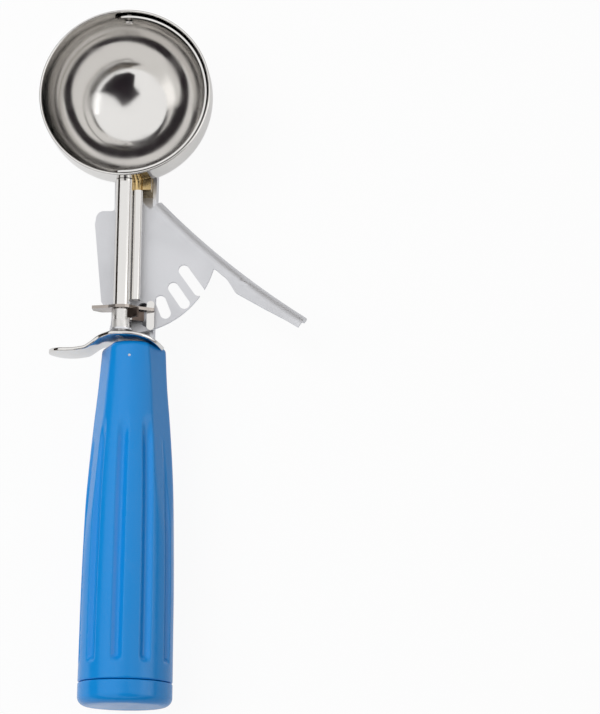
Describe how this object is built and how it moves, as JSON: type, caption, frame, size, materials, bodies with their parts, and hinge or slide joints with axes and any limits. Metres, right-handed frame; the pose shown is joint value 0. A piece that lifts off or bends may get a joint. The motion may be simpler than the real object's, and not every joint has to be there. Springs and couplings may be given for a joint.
{
  "type": "lever ice cream scoop",
  "caption": "Lever ice cream scoop with a polished round bowl, a sweeping scraper, a slotted thumb lever that drives it, and a fluted blue plastic handle.",
  "frame": {"origin": "centre of the bowl's sphere, on the scraper's axis", "axes": "+Z out of the bowl's mouth, -Y along the handle to its butt, +X to the thumb lever's side"},
  "size_m": [0.0886, 0.2308, 0.035],
  "materials": {
    "polished_steel": "mirror polished stainless steel",
    "satin_steel": "satin stamped stainless steel",
    "spring_steel": "drawn spring wire",
    "brass": "plain brass",
    "blue_plastic": "glossy moulded plastic"
  },
  "bodies": {
    "body": {"bowl": "polished_steel", "shaft_tube": "polished_steel", "guide_rail": "polished_steel", "bridge_plate": "polished_steel", "sector_guide": "polished_steel", "sector_keeper": "polished_steel", "finger_rest": "polished_steel", "tip_rivet": "polished_steel", "pivot_washer": "polished_steel", "shank_frame": "satin_steel", "handle_tang": "satin_steel", "lever_pivot": "satin_steel", "handle_pin": "satin_steel", "spring_anchor": "satin_steel", "return_spring": "spring_steel", "bowl_saddle": "brass", "handle_grip": "blue_plastic", "handle_end_cap": "blue_plastic"},
    "lever": {"thumb_lever": "satin_steel", "lever_bush": "brass"},
    "scraper": {"scraper_shaft": "polished_steel", "scraper_blade": "polished_steel", "pinion": "satin_steel", "retaining_ring": "satin_steel"}
  },
  "joints": [
    {"name": "lever_press", "type": "hinge", "parent": "body", "child": "lever", "pos_m": [0, -0.0495, -0.006], "axis": [0, 0, 1], "range_deg": [-37.5, 0], "stiffness_Nm_per_rad": 0.3, "springref_deg": 20.05, "deforming": ["return_spring"]},
    {"name": "scraper_sweep", "type": "hinge", "parent": "body", "child": "scraper", "pos_m": [0, 0, 0], "axis": [0, 1, 0], "range_deg": [0, 150]}
  ],
  "couplings": [
    {"joint": "scraper_sweep", "follows": "lever_press", "ratio": -4}
  ]
}
